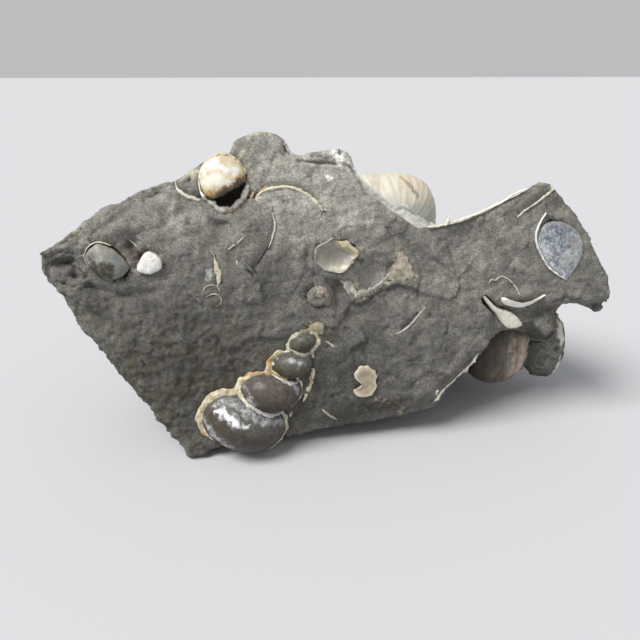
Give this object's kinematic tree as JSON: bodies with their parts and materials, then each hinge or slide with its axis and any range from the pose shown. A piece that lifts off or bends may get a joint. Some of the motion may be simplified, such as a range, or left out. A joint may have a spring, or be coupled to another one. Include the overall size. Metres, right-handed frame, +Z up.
{
  "type": "fossil scaphite ammonite in matrix",
  "caption": "Chunk of dark mudstone standing on its broken edge, with a ribbed scaphite in its back and a high-spired snail, a bivalve and small broken shells across its front.",
  "frame": {"origin": "on the flat spot that the stone stands on, below its middle", "axes": "+Z up; +X to the right along the broken front, the longest way; the front faces -Y and the scaphite is at +Y"},
  "size_m": [0.0777, 0.0479, 0.043],
  "materials": {
    "mudstone": "dull fine-grained dark grey mudstone with small pale specks",
    "ribbed_shell": "cream to tan aragonite shell, satin, with grey nacre where it is worn",
    "snail_mould": "silvery, white and olive-brown shell, glossy",
    "cream_shell": "cream shell, matt",
    "white_shell": "chalky white shell",
    "honey_calcite": "glossy white to honey calcite",
    "grey_shell": "translucent grey-tan shell, satin",
    "matrix_shell": "stone-coloured mould, matt",
    "brown_shell": "brown-grey shell with a pinkish sheen",
    "mould_stone": "grey-green inner mould",
    "blue_nacre": "mottled blue-white nacre, satin",
    "tan_film": "tan shell, matt"
  },
  "bodies": {
    "root": {"matrix_stone": "mudstone", "scaphite_shell": "ribbed_shell", "spired_snail": "snail_mould", "round_shell": "cream_shell", "shell_arc_top": "cream_shell", "shell_arc_long": "cream_shell", "shell_arc_left": "cream_shell", "shell_sliver": "cream_shell", "shell_edge_tail": "cream_shell", "shell_edge_right": "cream_shell", "shell_edge_low": "cream_shell", "shell_flake_long": "cream_shell", "shell_flake_short": "cream_shell", "white_fragment": "white_shell", "shell_band": "white_shell", "calcite_dome": "honey_calcite", "middle_cup": "grey_shell", "oval_shell": "grey_shell", "button_snail": "matrix_shell", "broken_whorl": "brown_shell", "whorl_mould": "mould_stone", "pearly_bivalve": "blue_nacre", "tan_shell": "tan_film"}
  },
  "joints": []
}
